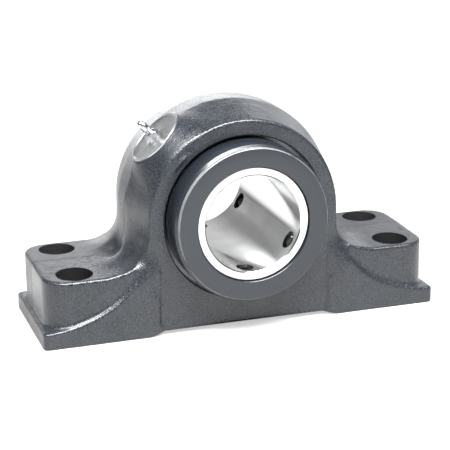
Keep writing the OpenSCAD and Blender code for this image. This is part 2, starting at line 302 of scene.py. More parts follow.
def castPaint(look):
    g = Graph(bpy.data.materials.new("castPaint"))
    at = g.place()
    grain, grit, lumps, drift = (g.noise(at, *look[key]) for key in ("grain", "grit", "lumps", "drift"))
    wrinkles = g.noise(g.place(stretch=look["streaks"]), *look["wrinkles"])
    _, y, z = g.axes(at)
    # behind the parting line the skin is rougher and sandy; on the arch's top its pale grains are a painted
    # highlight
    parting = look["archPart"] + (1.0 - z.rises(*look["partHeight"])) * (look["padPart"] - look["archPart"])
    sandy = (y - parting + (lumps - 0.5) * look["partWander"]).rises(*look["partEdge"])
    crown = sandy * z.rises(*look["crownHeight"])
    driftPart, lumpPart, grainPart = look["toneParts"]
    tone = (drift * driftPart + lumps * lumpPart + grain * grainPart).rises(*look["toneRise"])
    colour = g.mixColour(tone, look["dark"], look["light"])
    colour = g.mixColour(grit.rises(*look["dustRise"]) * look["dustShare"], colour, look["dust"])
    # painted highlight: pale grains over the arch's top stand in for light glancing off the sand
    glintAmount = grain.rises(*look["glintRise"]) * look["glintGrain"] + look["glintShare"]
    colour = g.mixColour(crown * glintAmount, colour, look["paintedGlint"])
    colour = g.mixColour((1.0 - grit.rises(*look["pitRise"])) * look["pitShare"], colour, look["pit"])
    rough = look["rough"] + (grain - 0.5) * look["roughSpread"]
    rough = rough + sandy * look["sandyRough"] + crown * look["crownRough"]
    fine = (grain * look["grainHeight"] + grit * look["gritHeight"]) * (sandy + 1.0) * look["sandyHeight"]
    height = fine + lumps * look["lumpHeight"] + wrinkles * sandy * look["wrinkleHeight"]
    normal = g.bump(height, look["bumpStrength"], look["bumpDepth"])
    return g.surface({"Base Color": colour, "Roughness": rough, "Normal": normal, "IOR": look["ior"],
                      "Coat Weight": look["coat"], "Coat Roughness": look["coatRough"]})


steelLook = {
    "markDetail": (2.0, 0.6), "cloud": (45.0, 3.0, 0.55), "spots": (420.0, 2.0, 0.5), "wornGain": 1.25,
    "wornFrom": 0.35, "wornShare": 0.8, "markShine": 0.08, "spotShine": 0.05, "bumpStrength": 0.35,
    "rimHighlight": (0.30, 0.31, 0.32, 1), "rimIn": (-0.0006, -0.0003), "rimOut": (0.0001, 0.0003),
    "rimParts": (0.8, 0.5), "rimRise": (0.35, 0.75), "rimShare": 0.8,
}


def turnedSteel(name, colour, rough, rings, depth=0.00002, metallic=1.0, ior=1.5, smudge=0.10, rim=None):
    # the tool's marks run round the bore: their noise is on the radius and the place along it only
    look = steelLook
    g = Graph(bpy.data.materials.new(name))
    at = g.place(centre=(0, 0, boreHeight * mm))
    x, y, z = g.axes(at)
    radius = (x * x + z * z).power(0.5)
    lathe = g.node("ShaderNodeCombineXYZ", {}, {"X": radius, "Y": y, "Z": 0.0})
    marks = g.noise(lathe, rings, *look["markDetail"])
    cloud = g.noise(at, *look["cloud"])
    spots = g.noise(at, *look["spots"])
    worn = tuple(min(1.0, c * look["wornGain"]) for c in colour)
    tint = g.mixColour((cloud - look["wornFrom"]).clamped() * look["wornShare"], (*colour, 1), (*worn, 1))
    shine = rough + (cloud - 0.5) * smudge
    shine = shine + (marks - 0.5) * look["markShine"] + (spots - 0.5) * look["spotShine"]
    if rim:
        # painted highlight: a thin lighter line at the outer corner, uneven along the way
        rimFrom, rimTo = (rim + step for step in look["rimIn"])
        edge = radius.rises(rimFrom, rimTo)
        rimFrom, rimTo = (rim + step for step in look["rimOut"])
        edge = edge * (1.0 - radius.rises(rimFrom, rimTo))
        cloudPart, spotPart = look["rimParts"]
        rimGlint = (cloud * cloudPart + spots * spotPart).rises(*look["rimRise"]) * look["rimShare"]
        tint = g.mixColour(edge * rimGlint, tint, look["rimHighlight"])
    normal = g.bump(marks, look["bumpStrength"], depth)
    return g.surface({"Base Color": tint, "Roughness": shine, "Metallic": metallic, "Normal": normal,
                      "IOR": ior})


rubberLook = {
    "dark": (0.018, 0.018, 0.019, 1), "bloomed": (0.034, 0.033, 0.032, 1), "bloom": (160.0, 3.0, 0.5),
    "skin": (1400.0, 2.0, 0.5), "rough": 0.48, "roughSpread": 0.18, "bumpStrength": 0.3, "bumpDepth": 0.00005,
}


def blackRubber(look):
    g = Graph(bpy.data.materials.new("sealRubber"))
    at = g.place()
    bloom = g.noise(at, *look["bloom"])
    skin = g.noise(at, *look["skin"])
    return g.surface({"Base Color": g.mixColour(bloom, look["dark"], look["bloomed"]),
                      "Roughness": look["rough"] + bloom * look["roughSpread"],
                      "Normal": g.bump(skin, look["bumpStrength"], look["bumpDepth"])})


platingLook = {
    "bright": (0.80, 0.81, 0.82, 1), "dull": (0.66, 0.67, 0.69, 1), "stretch": (1, 9, 1),
    "brushed": (900.0, 2.0, 0.55), "cloud": (70.0, 3.0, 0.5), "dullRise": (0.35, 0.7),
    "rough": 0.30, "cloudRough": 0.25, "brushedRough": 0.10, "bumpStrength": 0.25, "bumpDepth": 0.00003,
}


def labelPlating(look):
    g = Graph(bpy.data.materials.new("labelPlating"))
    brushed = g.noise(g.place(stretch=look["stretch"]), *look["brushed"])
    cloud = g.noise(g.place(), *look["cloud"])
    shine = look["rough"] + (cloud - 0.5) * look["cloudRough"] + (brushed - 0.5) * look["brushedRough"]
    return g.surface({"Base Color": g.mixColour(cloud.rises(*look["dullRise"]), look["bright"], look["dull"]),
                      "Roughness": shine, "Metallic": 1.0,
                      "Normal": g.bump(brushed, look["bumpStrength"], look["bumpDepth"])})


# painted shade: near-black, dull walls inside the bolt holes, where the light does not reach
holeShadeLook = {
    "dark": (0.006, 0.006, 0.007, 1), "light": (0.022, 0.022, 0.023, 1), "skin": (700.0, 3.0, 0.6),
    "rough": 0.75, "roughSpread": 0.2, "bumpStrength": 0.6, "bumpDepth": 0.0006, "ior": 1.25,
}


def paintedHoleShade(look):
    g = Graph(bpy.data.materials.new("paintedHoleShade"))
    skin = g.noise(g.place(), *look["skin"])
    return g.surface({"Base Color": g.mixColour(skin, look["dark"], look["light"]),
                      "Roughness": look["rough"] + skin * look["roughSpread"],
                      "Normal": g.bump(skin, look["bumpStrength"], look["bumpDepth"]), "IOR": look["ior"]})


brightSteel = (0.70, 0.71, 0.73)
finishes = {
    "paint": castPaint(paintLook),
    "cored": paintedHoleShade(holeShadeLook),
    "label": labelPlating(platingLook),
    "fitting": turnedSteel("zincPlate", brightSteel, 0.24, 1800.0, smudge=0.16),
    "ball": turnedSteel("polishedBall", brightSteel, 0.08, 900.0, depth=0.000005),
    "spring": turnedSteel("springWire", (0.55, 0.56, 0.58), 0.30, 900.0),
    "race": turnedSteel("groundRace", (0.58, 0.59, 0.61), 0.16, 5200.0),
    "spacer": turnedSteel("turnedSpacer", (0.42, 0.43, 0.45), 0.34, 1500.0, depth=0.00005),
    "snap": turnedSteel("phosphatedRing", (0.16, 0.165, 0.175), 0.46, 1200.0),
    "seal_steel": turnedSteel("pressedCase", (0.30, 0.31, 0.33), 0.34, 1500.0),
    "seal_rubber": blackRubber(rubberLook),
    "ring": turnedSteel("honedRing", (0.86, 0.865, 0.87), 0.16, 3800.0, depth=0.000012, smudge=0.08),
    "cage": turnedSteel("pressedCage", (0.34, 0.35, 0.36), 0.38, 1300.0),
    # the collar's lighter rim line is a painted highlight
    "collar": turnedSteel("blackOxide", (0.016, 0.020, 0.026), 0.24, 2400.0, metallic=0.0, ior=1.70,
                          rim=0.0683),
    "screw": turnedSteel("blackScrew", (0.022, 0.023, 0.025), 0.34, 1800.0, metallic=0.0, ior=1.7),
    "roller": turnedSteel("groundRoller", brightSteel, 0.12, 5200.0),
}
slotOf = {part["node"]: part["material_slot"] for part in record["subparts"]}
for nodeName, shown in nodes.items():
    setMaterial(shown, finishes[slotOf[nodeName]])
print("finishes made:", len(finishes))


# housing casting: a window has four places in mm, where it starts, is full, begins to fade and ends

castingLook = {
    "voxel": 0.00105, "passes": 26, "hollowGrip": 0.5, "proudGrip": 0.18, "keepTriangles": 170000,
    "seatRadius": cupHigh[0], "seatPlug": 1.2, "halfWidth": 57.4, "padTop": 60.7, "sharpAngle": 38,
    # draft of the pads' front halves
    "padFall": 2.2, "partY": 8.0, "padFront": -56.5, "padX": (112, 128), "padRise": 30, "padOver": (3, 26),
    # sunk corners and creases beside the web
    "sinkX": 87.0, "sinkZ": 72.0, "sinkWide": 13.0, "sinkTall": 20.0, "sinkDepth": 3.0,
    "sinkEdge": (0.15, 1.0), "sinkFace": (45, 55),
    "creaseX": 77.8, "creaseWide": 2.5, "creaseDepth": 1.7, "creaseZ": (2, 12, 58, 80),
    # filled valley between the neck and the pad
    "fillAt": (104.0, 7.0, 71.0), "fillSize": (9, 9, 11), "fillDepth": 1.6, "fillOut": 0.6, "fillUp": 0.8,
    # metal carried up to the label's boss
    "labelAngle": 135, "labelY": (plateLow[1] + plateHigh[1]) / 2,
    "labelRadius": (plateHigh[1] - plateLow[1]) / 2, "bossRadius": 97.4, "bossFall": 0.68,
    "bossDome": 0.012, "bossForward": (0.2, 0.75), "bossStart": (0.6, 2), "bossReach": (48, 58),
    "bossSkin": (85, 88), "bossMost": 9, "bossBack": 20, "bossLow": -30,
    # where the skin is eased once more, and how strongly
    "regionPasses": 320, "regionGrip": 0.5, "bossGrip": 0.25, "valleyX": (76, 86, 118, 136),
    "valleyY": (-40, -16, 34, 50), "valleyZ": (56, 60, 92, 116), "pocketX": (79.5, 82, 95, 102),
    "pocketZ": (36, 46, 68, 80), "pocketFace": (42, 48), "easeStart": (1.5, 5), "easeReach": (46, 56),
    "easeHeight": (76, 84), "easeFront": (-57.3, -54), "easeBack": 10,
    # waves and grains that the sand leaves, in metres
    "waveSize": 0.016, "waveDepth": 0.00012, "grainSize": 0.0030, "grainDepth": 0.00005,
    # bores and holes, cut last so that they stay true
    "boltX": 150.8, "boltY": 35.7, "boltRadius": 16.4, "boltPlug": 0.4, "holeEase": 0.5,
    "coredReach": 0.2, "coredDrop": 0.6, "mouthEase": 1.1, "core": 41, "overrun": 3,
    "snapDepth": 2.6, "snapStart": -cupLow[1], "snapWidth": 3.1,
    "grooveDepth": 1.6, "grooveFrom": -20.5, "grooveTo": 3.0, "plateGap": 1.0, "plateSink": 0.02,
    "stemRadius": 5.1, "stemGap": 0.05, "stemDepth": 14, "stemPlug": 0.4, "stemPlugDepth": 20,
    "feedRadius": 3.0,
}
labelAngle = math.radians(castingLook["labelAngle"])
labelAxis = np.array([math.cos(labelAngle), 0, math.sin(labelAngle)])
labelFrame = aroundBore(castingLook["labelAngle"], castingLook["labelY"])
plateFrame = labelFrame @ Matrix.Translation((0, 0, castingLook["bossRadius"] * mm))


def meshPoints(mesh, key="co"):
    values = np.zeros(len(mesh.vertices) * 3)
    mesh.vertices.foreach_get(key, values)
    return values.reshape(-1, 3)


def setPoints(mesh, points):
    mesh.vertices.foreach_set("co", points.ravel())
    mesh.update()


def meshPairs(mesh):
    # both ends of every edge, from either side
    pairs = np.zeros(len(mesh.edges) * 2, np.int64)
    mesh.edges.foreach_get("vertices", pairs)
    pairs = pairs.reshape(-1, 2)
    return np.concatenate([pairs[:, 0], pairs[:, 1]]), np.concatenate([pairs[:, 1], pairs[:, 0]])


def neighbourMean(points, here, there, count):
    share = np.bincount(here, minlength=count).astype(float)
    sums = [np.bincount(here, weights=points[there, k], minlength=count) / share for k in range(3)]
    return np.stack(sums, 1)


def smoothStep(values, low, high):
    t = np.clip((values - low) / (high - low), 0, 1)
    return t * t * (3 - 2 * t)


def window(values, start, full, fade, end):
    return smoothStep(values, start, full) * (1 - smoothStep(values, fade, end))


def bell(values, centre, width):
    return np.exp(-((values - centre) / width) ** 2)


def easedPoints(points, normals, pairs, look):
    # draws every point towards its neighbours' mean, hollow corners more than proud edges
    for _ in range(look["passes"]):
        pull = neighbourMean(points, *pairs, len(points)) - points
        hollow = (pull * normals).sum(1) > 0
        points = points + pull * np.where(hollow, look["hollowGrip"], look["proudGrip"])[:, None]
    return points


def easedRegion(points, pairs, weight, passes):
    # the same on a part of the skin only, as far as its weight says
    points = points.copy()
    chosen = np.nonzero(weight > 0)[0]
    spot = np.full(len(points), -1)
    spot[chosen] = np.arange(len(chosen))
    mine = spot[pairs[0]] >= 0
    here, there = spot[pairs[0][mine]], pairs[1][mine]
    for _ in range(passes):
        mean = neighbourMean(points, here, there, len(chosen))
        points[chosen] += (mean - points[chosen]) * weight[chosen, None]
    return points


def placeOnLabel(points, look):
    # offset from the bore's axis at the label, height along the label's axis, and reach from it, in mm
    offset = points - np.array([0, look["labelY"], boreHeight])
    height = offset @ labelAxis
    return offset, height, np.linalg.norm(offset - np.outer(height, labelAxis), axis=1)


def castShape(points, look):
    # draft on the pads' front halves, sunk corners beside the web, filled valleys, in mm
    side, x, y, z = np.sign(points[:, 0]), np.abs(points[:, 0]), points[:, 1], points[:, 2]
    top = look["padTop"]
    over, above = look["padOver"]
    onPad = smoothStep(x, *look["padX"]) * window(z, look["padRise"], top, top + over, top + above)
    fall = look["padFall"] * np.clip((look["partY"] - y) / (look["partY"] - look["padFront"]), 0, 1)
    low = z - fall * onPad
    away = np.hypot((x - look["sinkX"]) / look["sinkWide"], (z - look["sinkZ"]) / look["sinkTall"])
    crease = bell(x, look["creaseX"], look["creaseWide"]) * window(z, *look["creaseZ"])
    sink = look["sinkDepth"] * (1 - smoothStep(away, *look["sinkEdge"])) + look["creaseDepth"] * crease
    deep = y - np.sign(y) * sink * smoothStep(np.abs(y), *look["sinkFace"])
    filled = look["fillDepth"]
    for values, centre, width in zip((x, y, z), look["fillAt"], look["fillSize"]):
        filled = filled * bell(values, centre, width)
    wide = points[:, 0] + side * filled * look["fillOut"]
    shaped = np.stack([wide, deep, low + filled * look["fillUp"]], 1)
    return shaped + bossShape(shaped, y, look)


def bossShape(points, y, look):
    # metal carried up to the label along its axis: a cone in front of it, curving down behind
    offset, height, reach = placeOnLabel(points, look)
    height = height - look["bossRadius"]
    start, full = (look["labelRadius"] + step for step in look["bossStart"])
    beyond = np.maximum(reach - start, 0)
    forward = smoothStep((look["labelY"] - y) / np.maximum(reach, 1), *look["bossForward"])
    wanted = -look["bossFall"] * beyond - look["bossDome"] * (1 - forward) * beyond ** 2
    outside = smoothStep(np.hypot(offset[:, 0], offset[:, 2]), *look["bossSkin"])
    outside = outside * window(reach, start, full, *look["bossReach"])
    outside = outside * (y < look["bossBack"]) * (height > look["bossLow"])
    return np.outer(np.clip(wanted - height, 0, look["bossMost"]) * outside, labelAxis)


def easeWeights(points, look):
    # the valleys between neck and pads, the pockets beside the web, and the metal round the label
    x, y, z = np.abs(points[:, 0]), points[:, 1], points[:, 2]
    valley = window(x, *look["valleyX"]) * window(y, *look["valleyY"]) * window(z, *look["valleyZ"])
    pocket = window(x, *look["pocketX"]) * window(z, *look["pocketZ"])
    pocket = pocket * smoothStep(np.abs(y), *look["pocketFace"])
    _, height, reach = placeOnLabel(points, look)
    start, full = (look["labelRadius"] + step for step in look["easeStart"])
    boss = window(reach, start, full, *look["easeReach"]) * smoothStep(height, *look["easeHeight"])
    boss = boss * (y < look["easeBack"]) * smoothStep(y, *look["easeFront"])
    return np.maximum(np.maximum(valley, pocket) * look["regionGrip"], boss * look["bossGrip"])


def boltPlaces(look):
    for sx in (-1, 1):
        for sy in (-1, 1):
            yield Matrix.Translation((sx * look["boltX"] * mm, sy * look["boltY"] * mm, 0))


def boltCutter(look, place):
    # eased at the sole and at the pad's top
    radius, ease, top, sides = look["boltRadius"], look["holeEase"], look["padTop"], 96
    levels = [(radius + ease, -2), (radius + ease, 0), (radius, ease), (radius, top - ease),
              (radius + ease * 0.3, top - ease * 0.25), (radius + ease, top), (radius + ease + 1.5, top + 2)]
    turns = [2 * math.pi * k / sides for k in range(sides)]
    bm = bmesh.new()
    addStack(bm, [[place @ pointAround(r, turn, z) for turn in turns] for r, z in levels])
    return linkObject("boltCutter", finishedMesh("boltCutter", bm))


def housingCutters(look):
    seat, half, ease = look["seatRadius"], look["halfWidth"], look["mouthEase"]
    past = half + look["overrun"]
    snap, groove = seat + look["snapDepth"], seat + look["grooveDepth"]
    start, stop = look["snapStart"], look["snapStart"] + look["snapWidth"]
    grooveFrom, grooveTo = look["grooveFrom"], look["grooveTo"]
    outline = [(look["core"] - 1, -past), (seat + ease * 4, -past), (seat, -half + ease),
               (seat, -stop), (snap, -stop), (snap, -start), (seat, -start),
               (seat, grooveFrom), (groove, grooveFrom), (groove, grooveTo), (seat, grooveTo),
               (seat, start), (snap, start), (snap, stop), (seat, stop),
               (seat, half - ease), (seat + ease * 4, past), (look["core"] - 1, past)]
    boss = look["bossRadius"]
    plate, stem = look["labelRadius"] + look["plateGap"], look["stemRadius"] + look["stemGap"]
    stemEnd = boss - look["stemDepth"]
    cutters = [
        turnedPiece("boreCutter", outline, 256, boreFrame),
        barCutter("coreCutter", look["core"], -past, past, boreFrame, 96),
        barCutter("labelCutter", plate, boss - look["plateSink"], boss + 8, labelFrame, 96),
        barCutter("stemCutter", stem, stemEnd, boss + 1, labelFrame, 32),
        barCutter("feedCutter", look["feedRadius"], seat - 6, stemEnd + 1, labelFrame, 24),
    ]
    return cutters + [boltCutter(look, place) for place in boltPlaces(look)]


def pluggedHousing(look):
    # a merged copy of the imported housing, its bores and holes filled so that the skin eases without them
    bm = bmesh.new()
    bm.from_mesh(nodes["housing"].data)
    bmesh.ops.remove_doubles(bm, verts=bm.verts, dist=2e-6)
    addBar(bm, look["seatRadius"] + look["seatPlug"], -look["halfWidth"], look["halfWidth"], boreFrame, 128)
    for place in boltPlaces(look):
        addBar(bm, look["boltRadius"] + look["boltPlug"], 0, look["padTop"], place, 64)
    boss = look["bossRadius"]
    addBar(bm, look["stemRadius"] + look["stemPlug"], boss - look["stemPlugDepth"], boss, labelFrame, 48)
    return linkObject("housingCasting", finishedMesh("housingCasting", bm))


# the bolt holes' walls get the painted shade
def markCoredHoles(piece, look):
    piece.data.materials.append(finishes["cored"])
    for face in piece.data.polygons:
        x, y, z = face.center / mm
        away = math.hypot(abs(x) - look["boltX"], abs(y) - look["boltY"])
        if away < look["boltRadius"] + look["coredReach"] and z < look["padTop"] - look["coredDrop"]:
            face.material_index = 1


def housingCasting(look):
    piece = pluggedHousing(look)
    remesh = piece.modifiers.new("skin", "REMESH")
    remesh.mode = "VOXEL"
    remesh.voxel_size = look["voxel"]
    applyModifiers(piece)
    mesh = piece.data
    pairs = meshPairs(mesh)
    points = easedPoints(meshPoints(mesh), meshPoints(mesh, "normal"), pairs, look)
    points = castShape(points / mm, look)
    setPoints(mesh, easedRegion(points, pairs, easeWeights(points, look), look["regionPasses"]) * mm)
    print("housing skin:", len(mesh.vertices), "points")
    thin = piece.modifiers.new("thin", "DECIMATE")
    thin.ratio = min(1.0, look["keepTriangles"] / (len(mesh.polygons) * 2))
    applyModifiers(piece)
    mesh = piece.data
    points, normals = meshPoints(mesh), meshPoints(mesh, "normal")
    lift = np.array([noise.noise(Vector(p) / look["waveSize"]) * look["waveDepth"]
                     + noise.noise(Vector(p) / look["grainSize"]) * look["grainDepth"] for p in points])
    low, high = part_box("housing")
    setPoints(mesh, np.clip(points + normals * lift[:, None], np.array(low), np.array(high)))
    cutWith(piece, housingCutters(look), "MANIFOLD")
    smoothShade(piece, look["sharpAngle"])
    setMaterial(piece, finishes["paint"])
    markCoredHoles(piece, look)
    print("housing casting:", len(piece.data.polygons), "faces")
    return piece


housing = housingCasting(castingLook)
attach(housing, "base")
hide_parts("housing")


# collars and their set screws

collarLook = {
    "outer": collarHigh[0], "front": collarHigh[1], "back": collarLow[1], "nose": 68.3, "noseWidth": 4.0,
    "cone": 9.0, "bevel": 2.3, "bevelDrop": 0.15, "bore": 50.84, "mouth": 51.7, "mouthDepth": 6.5,
    "lip": 0.55, "backChamfer": 1.2, "mouthChamfer": 0.3, "screwRadius": 7.85, "screwGap": 0.08,
    "screwY": 66.65, "screwAngles": (-31, -95), "holeLow": 42.84, "holeHigh": 74.7,
    "segments": 256, "sharpAngle": 24,
}


def screwHoles(look, radius, low, high):
    return [barCutter("screwHole", radius, low, high, aroundBore(angle, side * look["screwY"]), 48)
            for side in (-1, 1) for angle in look["screwAngles"]]


def collarPiece(look, side, name):
    front, back, bore, outer = look["front"], look["back"], look["bore"], look["outer"]
    nose, mouth, lip = look["nose"], look["mouth"], look["lip"]
    chamfer, small = look["backChamfer"], look["mouthChamfer"]
    coneStart, mouthEnd = front - look["noseWidth"], front - look["mouthDepth"]
    corners = [(bore, back, 0), (outer - chamfer, back, 0.3), (outer, back + chamfer, 0.3),
               (outer, coneStart - look["cone"], 1.2),
               (outer - look["bevelDrop"], coneStart - look["bevel"], 1.0), (nose, coneStart, 0.3),
               (nose, front - lip, 0.12), (nose - lip, front, 0.12), (mouth + small, front, 0.1),
               (mouth, front - small, 0.1), (mouth, mouthEnd, 0), (bore, mouthEnd, 0)]
    outline = [(r, side * y) for r, y in roundedOutline(corners, 3)]
    piece = turnedPiece(name, outline, look["segments"], boreFrame)
    holeRadius = look["screwRadius"] + look["screwGap"]
    cutWith(piece, screwHoles(look, holeRadius, look["holeLow"], look["holeHigh"]))
    smoothShade(piece, look["sharpAngle"])
    setMaterial(piece, finishes["collar"])
    return piece


screwLook = {
    "radius": 7.85, "tip": 52.456, "top": 68.9, "chamfer": 0.9, "point": 4.4, "pointLength": 2.2, "cup": 3.4,
    "cupDepth": 1.4, "cupSink": 0.02, "socket": 4.6, "socketDepth": 6.0, "sides": 64, "sharpAngle": 25,
}


def screwTree(look):
    # socket set screw along a radius of the bore: body, cup point and hexagon socket
    tree = bpy.data.node_groups.new("socketScrew", "GeometryNodeTree")
    tree.interface.new_socket("Geometry", in_out="OUTPUT", socket_type="NodeSocketGeometry")
    made = {}
    sizes = {"Radius": look["radius"], "Tip": look["tip"], "Top": look["top"], "Socket": look["socket"],
             "Socket Depth": look["socketDepth"], "Angle": 0.0, "Along": 0.0}
    for label in (*sizes, "Material"):
        kind = "NodeSocketFloat" if label in sizes else "NodeSocketMaterial"
        made[label] = tree.interface.new_socket(label, in_out="INPUT", socket_type=kind)
    for label, value in sizes.items():
        made[label].default_value = value
    source = tree.nodes.new("NodeGroupInput").outputs
    sink = tree.nodes.new("NodeGroupOutput")

    def add(kind, settings, inputs):
        node = tree.nodes.new(kind)
        for key, value in settings.items():
            setattr(node, key, value)
        for key, value in inputs.items():
            if isinstance(value, bpy.types.NodeSocket):
                tree.links.new(value, node.inputs[key])
            else:
                node.inputs[key].default_value = value
        return node.outputs[0]

    def maths(operation, a, b):
        return add("ShaderNodeMath", {"operation": operation}, {0: a, 1: b})

    def moved(shape, key, **axes):
        vector = add("ShaderNodeCombineXYZ", {}, axes)
        return add("GeometryNodeTransform", {}, {"Geometry": shape, key: vector})

    def cone(sides, low, bottom, top, depth):
        shape = add("GeometryNodeMeshCone", {"fill_type": "NGON"},
                    {"Vertices": sides, "Side Segments": 1, "Fill Segments": 1, "Radius Bottom": bottom,
                     "Radius Top": top, "Depth": depth})
        return moved(shape, "Translation", Z=low)

    def joined(operation, first, others):
        node = tree.nodes.new("GeometryNodeMeshBoolean")
        node.operation = operation
        node.solver = "EXACT"
        if first:
            tree.links.new(first, node.inputs["Mesh 1"])
        for other in others:
            tree.links.new(other, node.inputs["Mesh 2"])
        return node.outputs[0]

    radius, tip, top, sides = source["Radius"], source["Tip"], source["Top"], look["sides"]
    mainLow = maths("ADD", tip, look["pointLength"])
    mainHigh = maths("SUBTRACT", top, look["chamfer"])
    narrow = maths("SUBTRACT", radius, look["chamfer"])
    body = joined("UNION", None, [
        cone(sides, tip, look["point"], radius, maths("SUBTRACT", mainLow, tip)),
        cone(sides, mainLow, radius, radius, maths("SUBTRACT", mainHigh, mainLow)),
        cone(sides, mainHigh, radius, narrow, maths("SUBTRACT", top, mainHigh)),
    ])
    socketLow = maths("SUBTRACT", top, source["Socket Depth"])
    hollow = joined("DIFFERENCE", body, [
        cone(6, socketLow, source["Socket"], source["Socket"], maths("ADD", source["Socket Depth"], 1.0)),
        cone(sides, maths("SUBTRACT", tip, look["cupSink"]), look["cup"], 0.0, look["cupDepth"]),
    ])
    inMetres = add("GeometryNodeTransform", {}, {"Geometry": hollow, "Scale": (mm, mm, mm)})
    turned = moved(inMetres, "Rotation", Y=maths("SUBTRACT", math.pi / 2, source["Angle"]))
    standing = moved(turned, "Translation", Y=source["Along"], Z=boreHeight * mm)
    real = add("GeometryNodeRealizeInstances", {}, {"Geometry": standing})
    dressed = add("GeometryNodeSetMaterial", {}, {"Geometry": real, "Material": source["Material"]})
    tree.links.new(dressed, sink.inputs[0])
    return tree, {label: socket.identifier for label, socket in made.items()}


screwNodes, screwSockets = screwTree(screwLook)


def screwPiece(name, angle, along):
    piece = linkObject(name, bpy.data.meshes.new(name))
    grown = piece.modifiers.new("screw", "NODES")
    grown.node_group = screwNodes
    grown[screwSockets["Angle"]] = math.radians(angle)
    grown[screwSockets["Along"]] = along * mm
    grown[screwSockets["Material"]] = finishes["screw"]
    piece.update_tag()
    applyModifiers(piece)
    bm = bmesh.new()
    bm.from_mesh(piece.data)
    bmesh.ops.remove_doubles(bm, verts=bm.verts, dist=mergeDistance)
    bmesh.ops.recalc_face_normals(bm, faces=bm.faces)
    bm.to_mesh(piece.data)
    bm.free()
    smoothShade(piece, screwLook["sharpAngle"])
    setMaterial(piece, finishes["screw"])
    return piece


for side, word in ((-1, "front"), (1, "rear")):
    collar = collarPiece(collarLook, side, word + "CollarTurned")
    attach(collar, "sleeve")
    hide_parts(word + "_collar")
    for k, angle in enumerate(collarLook["screwAngles"], 1):
        screw = screwPiece(f"{word}SetScrew{k}", angle, side * collarLook["screwY"])
        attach(screw, f"{word}_screw_body_{k}")
        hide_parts(f"{word}_set_screw_{k}")
print("collars and set screws made")


# inner ring

ringLook = {
    "bore": 43.65625, "outer": 50.8, "half": ringHigh[1], "rib": ringHigh[0], "shoulder": 49.7, "land": 52.8,
    "edge": 1.0, "rimEase": 0.35, "pitch": 60.0, "rowY": 17.0, "slope": 12.0, "rollerRadius": 7.4,
    "halfLength": 10.15, "holeGap": 0.3, "holeLow": 35.65625, "holeHigh": 58.8,
    "segments": 256, "sharpAngle": 30,
}


def ringPiece(look):
    slope = math.radians(look["slope"])
    pitch, bore, outer, half = look["pitch"], look["bore"], look["outer"], look["half"]
    apex = pitch / math.sin(slope)
    taper = math.atan(look["rollerRadius"] / apex)

    def rowPoint(along, up):
        # a point of the roller row's own plane, along the rollers' line and square to it
        return (pitch - along * math.sin(slope) + up * math.cos(slope),
                look["rowY"] + along * math.cos(slope) + up * math.sin(slope))

    def trackPoint(along):
        return rowPoint(along, -(apex - along) * math.tan(taper))

    def endPoint(along, radius):
        return radius, rowPoint(along, (radius - pitch + along * math.sin(slope)) / math.cos(slope))[1]

    big, small = -look["halfLength"], look["halfLength"]
    right = [endPoint(big, look["rib"]), trackPoint(big), trackPoint(small), endPoint(small, look["land"]),
             (look["land"], look["shoulder"]), (outer, look["shoulder"]), (outer, half - look["rimEase"]),
             (outer - look["rimEase"], half), (bore + look["edge"], half), (bore, half - look["edge"])]
    outline = right + [(r, -y) for r, y in reversed(right)]
    piece = turnedPiece("innerRingHoned", outline, look["segments"], boreFrame)
    holeRadius = collarLook["screwRadius"] + look["holeGap"]
    cutWith(piece, screwHoles(collarLook, holeRadius, look["holeLow"], look["holeHigh"]))
    smoothShade(piece, look["sharpAngle"])
    setMaterial(piece, finishes["ring"])
    return piece


ring = ringPiece(ringLook)
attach(ring, "sleeve")
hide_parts("inner_ring")
print("inner ring made")


# label plate and grease fitting, with heights measured from the boss

labelLook = {
    "radius": castingLook["labelRadius"], "hole": 5.3, "plate": 0.8, "rim": 1.7, "rimWidth": 1.3,
    "rimFoot": 0.9, "dish": (0.62, 0.02), "swell": (4.6, 0.10), "collar": (2.0, 0.45), "segments": 160,
    "sharpAngle": 50,
}


def labelPiece(look):
    r, rim, plate, hole = look["radius"], look["rim"], look["plate"], look["hole"]
    rimIn = r - look["rimWidth"]
    dishShare, dishUp = look["dish"]
    swellOut, swellUp = look["swell"]
    collarOut, collarUp = look["collar"]
    corners = [(hole, 0, 0), (r, 0, 0.25), (r, rim, 0.55), (rimIn, rim, 0.55),
               (rimIn - look["rimFoot"], plate, 0.5), (r * dishShare, plate + dishUp, 0),
               (hole + swellOut, plate + swellUp, 1.2),
               (hole + collarOut, plate + collarUp, 0.6), (hole, plate + collarUp, 0)]
    piece = turnedPiece("labelPlateRimmed", roundedOutline(corners, 4), look["segments"], plateFrame)
    smoothShade(piece, look["sharpAngle"])
    setMaterial(piece, finishes["label"])
    return piece


fittingLook = {
    "stem": 5.1, "stemLength": 13.0, "stemPoint": (0.6, 1.0), "hex": 6.4, "hexHeight": 6.0, "core": 5.1,
    "neck": 3.1, "neckFrom": 1.8, "neckTo": 3.2, "head": 4.1, "headFrom": 5.0, "headTo": 4.2, "headCone": 1.1,
    "height": 20.5, "mouth": 1.1, "channel": 1.7, "ballDepth": 2.15, "springRoom": 9.6, "segments": 64,
    "hexSteps": 72, "sharpAngle": 28,
}


def hexagonLoops(look, plate, top):
    # the spanner hexagon, its corners turned off by a cone at both ends
    corner = look["hex"]
    flat = corner * math.cos(math.pi / 6)
    levels = ((plate, flat + 0.12), (plate + 0.55, corner), (top - 0.75, corner), (top, flat + 0.05),
              (top + 0.02, corner - 1.5))
    for height, cap in levels:
        loop = []
        for k in range(look["hexSteps"]):
            angle = 2 * math.pi * k / look["hexSteps"]
            sector = angle % (math.pi / 3) - math.pi / 6
            loop.append(plateFrame @ pointAround(min(flat / math.cos(sector), cap), angle, height))
        yield loop


